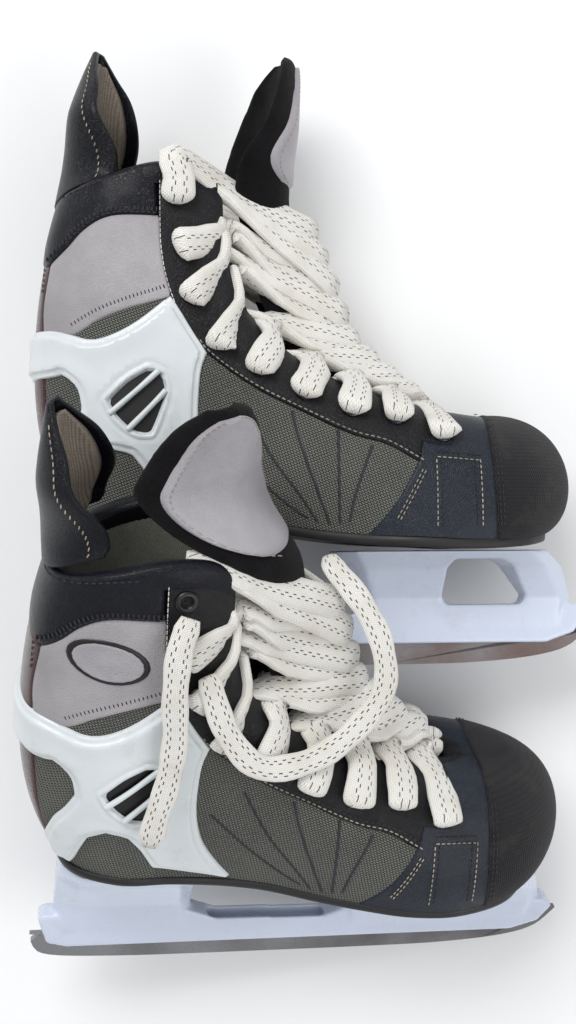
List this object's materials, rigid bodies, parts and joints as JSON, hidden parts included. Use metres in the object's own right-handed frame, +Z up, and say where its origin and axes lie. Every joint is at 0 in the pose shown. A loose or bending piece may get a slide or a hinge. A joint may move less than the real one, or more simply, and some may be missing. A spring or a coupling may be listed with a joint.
{
  "type": "ice skates",
  "caption": "Pair of junior ice-hockey skates lying on their sides, with mesh boots, white ankle supports, flat laces, blade holders and steel runners.",
  "frame": {"origin": "the point on the floor under the centre of the pair's bounding box, loose lace left out", "axes": "+X from heels to toes, +Y from the blades to the cuffs, +Z up from the floor that the pair lies on"},
  "size_m": [0.2572, 0.4136, 0.1806],
  "materials": {
    "ankle_panel_inner_left": "satin",
    "ankle_panel_inner_right": "satin",
    "ankle_panel_outer_left": "satin",
    "ankle_panel_outer_right": "satin",
    "ankle_support_left": "pearl",
    "ankle_support_right": "pearl",
    "backstay_left": "glossy",
    "backstay_right": "glossy",
    "blade_holder_left": "gloss",
    "blade_holder_right": "gloss",
    "boot_shell_left": "satin",
    "boot_shell_right": "satin",
    "collar_band_left": "glossy",
    "collar_band_right": "glossy",
    "emblem_left": "satin",
    "emblem_right": "satin",
    "eyestay_inner_left": "satin",
    "eyestay_inner_right": "satin",
    "eyestay_outer_left": "satin",
    "eyestay_outer_right": "satin",
    "footbed_left": "matte",
    "footbed_right": "matte",
    "guard_lining_left": "woven",
    "guard_lining_right": "woven",
    "insole_board_left": "matte",
    "insole_board_right": "matte",
    "lace_loop_right": "woven",
    "lace_tail_right": "woven",
    "lacing_left": "woven",
    "lacing_right": "woven",
    "lining_left": "matte",
    "lining_right": "matte",
    "outsole_left": "matte",
    "outsole_right": "matte",
    "quarter_mesh_inner_left": "woven",
    "quarter_mesh_inner_right": "woven",
    "quarter_mesh_outer_left": "woven",
    "quarter_mesh_outer_right": "woven",
    "runner_left": "brushed",
    "runner_right": "brushed",
    "side_mesh_inner_left": "woven",
    "side_mesh_inner_right": "woven",
    "side_mesh_outer_left": "woven",
    "side_mesh_outer_right": "woven",
    "tendon_guard_left": "satin",
    "tendon_guard_right": "satin",
    "toe_cap_left": "ribbed",
    "toe_cap_right": "ribbed",
    "tongue_face_left": "satin",
    "tongue_face_right": "satin",
    "tongue_lower_left": "felt",
    "tongue_lower_right": "felt",
    "tongue_upper_left": "felt",
    "tongue_upper_right": "felt",
    "vamp_left": "satin",
    "vamp_right": "satin",
    "vent_insert_inner_left": "matte",
    "vent_insert_inner_right": "matte",
    "vent_insert_outer_left": "matte",
    "vent_insert_outer_right": "matte"
  },
  "bodies": {
    "pair": {"ankle_panel_inner_left": "ankle_panel_inner_left", "ankle_panel_inner_right": "ankle_panel_inner_right", "ankle_panel_outer_left": "ankle_panel_outer_left", "ankle_panel_outer_right": "ankle_panel_outer_right", "ankle_support_left": "ankle_support_left", "ankle_support_right": "ankle_support_right", "backstay_left": "backstay_left", "backstay_right": "backstay_right", "blade_holder_left": "blade_holder_left", "blade_holder_right": "blade_holder_right", "boot_shell_left": "boot_shell_left", "boot_shell_right": "boot_shell_right", "collar_band_left": "collar_band_left", "collar_band_right": "collar_band_right", "emblem_left": "emblem_left", "emblem_right": "emblem_right", "eyestay_inner_left": "eyestay_inner_left", "eyestay_inner_right": "eyestay_inner_right", "eyestay_outer_left": "eyestay_outer_left", "eyestay_outer_right": "eyestay_outer_right", "footbed_left": "footbed_left", "footbed_right": "footbed_right", "insole_board_left": "insole_board_left", "insole_board_right": "insole_board_right", "lace_loop_right": "lace_loop_right", "lace_tail_right": "lace_tail_right", "lacing_left": "lacing_left", "lacing_right": "lacing_right", "lining_left": "lining_left", "lining_right": "lining_right", "outsole_left": "outsole_left", "outsole_right": "outsole_right", "quarter_mesh_inner_left": "quarter_mesh_inner_left", "quarter_mesh_inner_right": "quarter_mesh_inner_right", "quarter_mesh_outer_left": "quarter_mesh_outer_left", "quarter_mesh_outer_right": "quarter_mesh_outer_right", "runner_left": "runner_left", "runner_right": "runner_right", "side_mesh_inner_left": "side_mesh_inner_left", "side_mesh_inner_right": "side_mesh_inner_right", "side_mesh_outer_left": "side_mesh_outer_left", "side_mesh_outer_right": "side_mesh_outer_right", "toe_cap_left": "toe_cap_left", "toe_cap_right": "toe_cap_right", "tongue_lower_left": "tongue_lower_left", "tongue_lower_right": "tongue_lower_right", "vamp_left": "vamp_left", "vamp_right": "vamp_right", "vent_insert_inner_left": "vent_insert_inner_left", "vent_insert_inner_right": "vent_insert_inner_right", "vent_insert_outer_left": "vent_insert_outer_left", "vent_insert_outer_right": "vent_insert_outer_right"},
    "tongue_left": {"tongue_upper_left": "tongue_upper_left", "tongue_face_left": "tongue_face_left"},
    "tendon_left": {"tendon_guard_left": "tendon_guard_left", "guard_lining_left": "guard_lining_left"},
    "tongue_right": {"tongue_upper_right": "tongue_upper_right", "tongue_face_right": "tongue_face_right"},
    "tendon_right": {"tendon_guard_right": "tendon_guard_right", "guard_lining_right": "guard_lining_right"}
  },
  "joints": [
    {"name": "tongue_flop_left", "type": "hinge", "parent": "pair", "child": "tongue_left", "pos_m": [-0.00899, 0.13266, 0.04752], "axis": [-0.0644, -0.0265, -0.9976], "range_deg": [0, 35]},
    {"name": "tendon_flex_left", "type": "hinge", "parent": "pair", "child": "tendon_left", "pos_m": [-0.1173, 0.13709, 0.0544], "axis": [-0.0644, -0.0265, -0.9976], "range_deg": [-28, 0]},
    {"name": "tongue_flop_right", "type": "hinge", "parent": "pair", "child": "tongue_right", "pos_m": [-0.00361, -0.02351, 0.11519], "axis": [-0.146, 0.4391, -0.8865], "range_deg": [0, 35]},
    {"name": "tendon_flex_right", "type": "hinge", "parent": "pair", "child": "tendon_right", "pos_m": [-0.11024, -0.01846, 0.13526], "axis": [-0.146, 0.4391, -0.8865], "range_deg": [-14, 14]}
  ]
}
